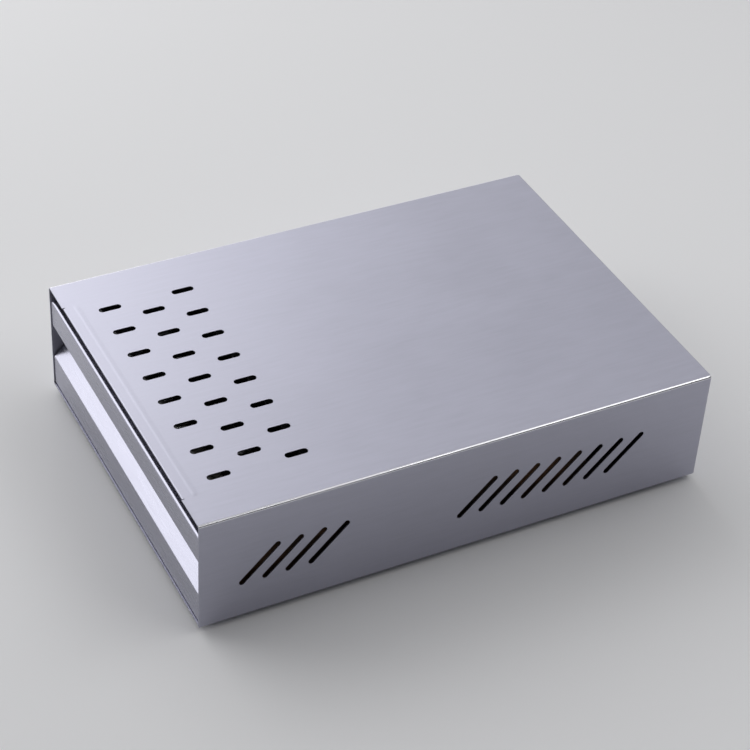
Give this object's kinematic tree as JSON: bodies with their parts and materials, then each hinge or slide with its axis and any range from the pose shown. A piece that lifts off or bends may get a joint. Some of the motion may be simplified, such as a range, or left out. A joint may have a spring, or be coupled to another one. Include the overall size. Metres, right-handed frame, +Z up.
{
  "type": "electric smoker",
  "caption": "Low brushed-steel drawer smoker: slotted top, diagonal side vents, full-width finger recess, food drawer on runners, rear controls.",
  "frame": {"origin": "under the middle of the body, on the surface that the feet stand on", "axes": "+X from the drawer front to the rear end with the controls, +Z up"},
  "size_m": [0.559, 0.397, 0.137],
  "materials": {
    "shell_steel": "fine brushed, grain along the length",
    "inner_steel": "mill finish",
    "zinc_steel": "bright zinc plate",
    "screw_steel": "bright",
    "rack_chrome": "polished",
    "element_sheath": "dark heat-tinted",
    "brass": "satin",
    "copper": "satin copper",
    "foot_rubber": "matte",
    "silicone": "matte silicone",
    "mineral_wool": "felted mat",
    "black_plastic": "fine texture",
    "case_plastic": "matte",
    "lamp_amber": "clear coloured",
    "wire_insulation": "satin"
  },
  "bodies": {
    "cabinet": {"base_pan": "shell_steel", "base_screws": "screw_steel", "bulb_clips": "zinc_steel", "ceiling_insulation": "mineral_wool", "chamber_liner": "inner_steel", "control_panel": "shell_steel", "drawer_seal": "silicone", "earth_stud": "brass", "element_clips": "zinc_steel", "element_glands": "brass", "far_insulation": "mineral_wool", "far_runner_outer": "zinc_steel", "floor_insulation": "mineral_wool", "foot_screws": "screw_steel", "front_far_foot": "foot_rubber", "front_near_foot": "foot_rubber", "heat_shield": "inner_steel", "heating_element": "element_sheath", "inlet_pins": "brass", "inlet_screws": "screw_steel", "lamp_body": "black_plastic", "lamp_lens": "lamp_amber", "liner_supports": "zinc_steel", "magnetic_catch": "black_plastic", "mains_inlet": "black_plastic", "near_insulation": "mineral_wool", "near_runner_outer": "zinc_steel", "outer_shell": "shell_steel", "outlet_gasket": "silicone", "panel_screws": "screw_steel", "rear_far_foot": "foot_rubber", "rear_insulation": "mineral_wool", "rear_near_foot": "foot_rubber", "sensing_bulb": "copper", "shell_brackets": "zinc_steel", "switch_housing": "black_plastic", "thermostat_body": "case_plastic", "thermostat_nut": "screw_steel", "wiring_harness": "wire_insulation"},
    "drawer": {"drawer_front": "shell_steel", "front_end_plates": "inner_steel", "front_inner_panel": "inner_steel", "strike_plate": "zinc_steel", "drawer_tray": "inner_steel", "drawer_screws": "screw_steel", "rack_rails": "inner_steel", "chip_tray_rails": "inner_steel", "near_runner_inner": "zinc_steel", "far_runner_inner": "zinc_steel"},
    "runner_middles": {"near_runner_middle": "zinc_steel", "far_runner_middle": "zinc_steel"},
    "outer_cages": {"outer_ball_cages": "zinc_steel"},
    "inner_cages": {"inner_ball_cages": "zinc_steel"},
    "food_rack": {"food_rack": "rack_chrome"},
    "drip_tray": {"drip_tray": "inner_steel"},
    "chip_tray": {"chip_tray": "inner_steel"},
    "chip_tray_lid": {"chip_tray_lid": "inner_steel"},
    "knob": {"thermostat_knob": "black_plastic", "thermostat_spindle": "screw_steel"},
    "rocker": {"switch_rocker": "black_plastic"}
  },
  "joints": [
    {"name": "drawer_slide", "type": "slide", "parent": "cabinet", "child": "drawer", "axis": [-1, 0, 0], "range_m": [0, 0.35]},
    {"name": "runner_middle_slide", "type": "slide", "parent": "cabinet", "child": "runner_middles", "axis": [-1, 0, 0], "range_m": [0, 0.175]},
    {"name": "outer_cage_slide", "type": "slide", "parent": "cabinet", "child": "outer_cages", "axis": [-1, 0, 0], "range_m": [0, 0.0875]},
    {"name": "inner_cage_slide", "type": "slide", "parent": "cabinet", "child": "inner_cages", "axis": [-1, 0, 0], "range_m": [0, 0.2625]},
    {"name": "food_rack_lift", "type": "slide", "parent": "drawer", "child": "food_rack", "axis": [0, 0, 1], "range_m": [0, 0.035]},
    {"name": "drip_tray_lift", "type": "slide", "parent": "drawer", "child": "drip_tray", "axis": [0, 0, 1], "range_m": [0, 0.006]},
    {"name": "chip_tray_lift", "type": "slide", "parent": "drawer", "child": "chip_tray", "axis": [0, 0, 1], "range_m": [0, 0.02]},
    {"name": "chip_lid_lift", "type": "slide", "parent": "chip_tray", "child": "chip_tray_lid", "axis": [0, 0, 1], "range_m": [0, 0.015]},
    {"name": "thermostat_turn", "type": "hinge", "parent": "cabinet", "child": "knob", "pos_m": [0.26, 0.082, 0.074], "axis": [-1, 0, 0], "range_deg": [0, 270]},
    {"name": "switch_rock", "type": "hinge", "parent": "cabinet", "child": "rocker", "pos_m": [0.2503, -0.004, 0.074], "axis": [0, 1, 0], "range_deg": [0, 16]}
  ],
  "couplings": [
    {"joint": "runner_middle_slide", "follows": "drawer_slide", "ratio": 0.5},
    {"joint": "outer_cage_slide", "follows": "drawer_slide", "ratio": 0.25},
    {"joint": "inner_cage_slide", "follows": "drawer_slide", "ratio": 0.75}
  ]
}
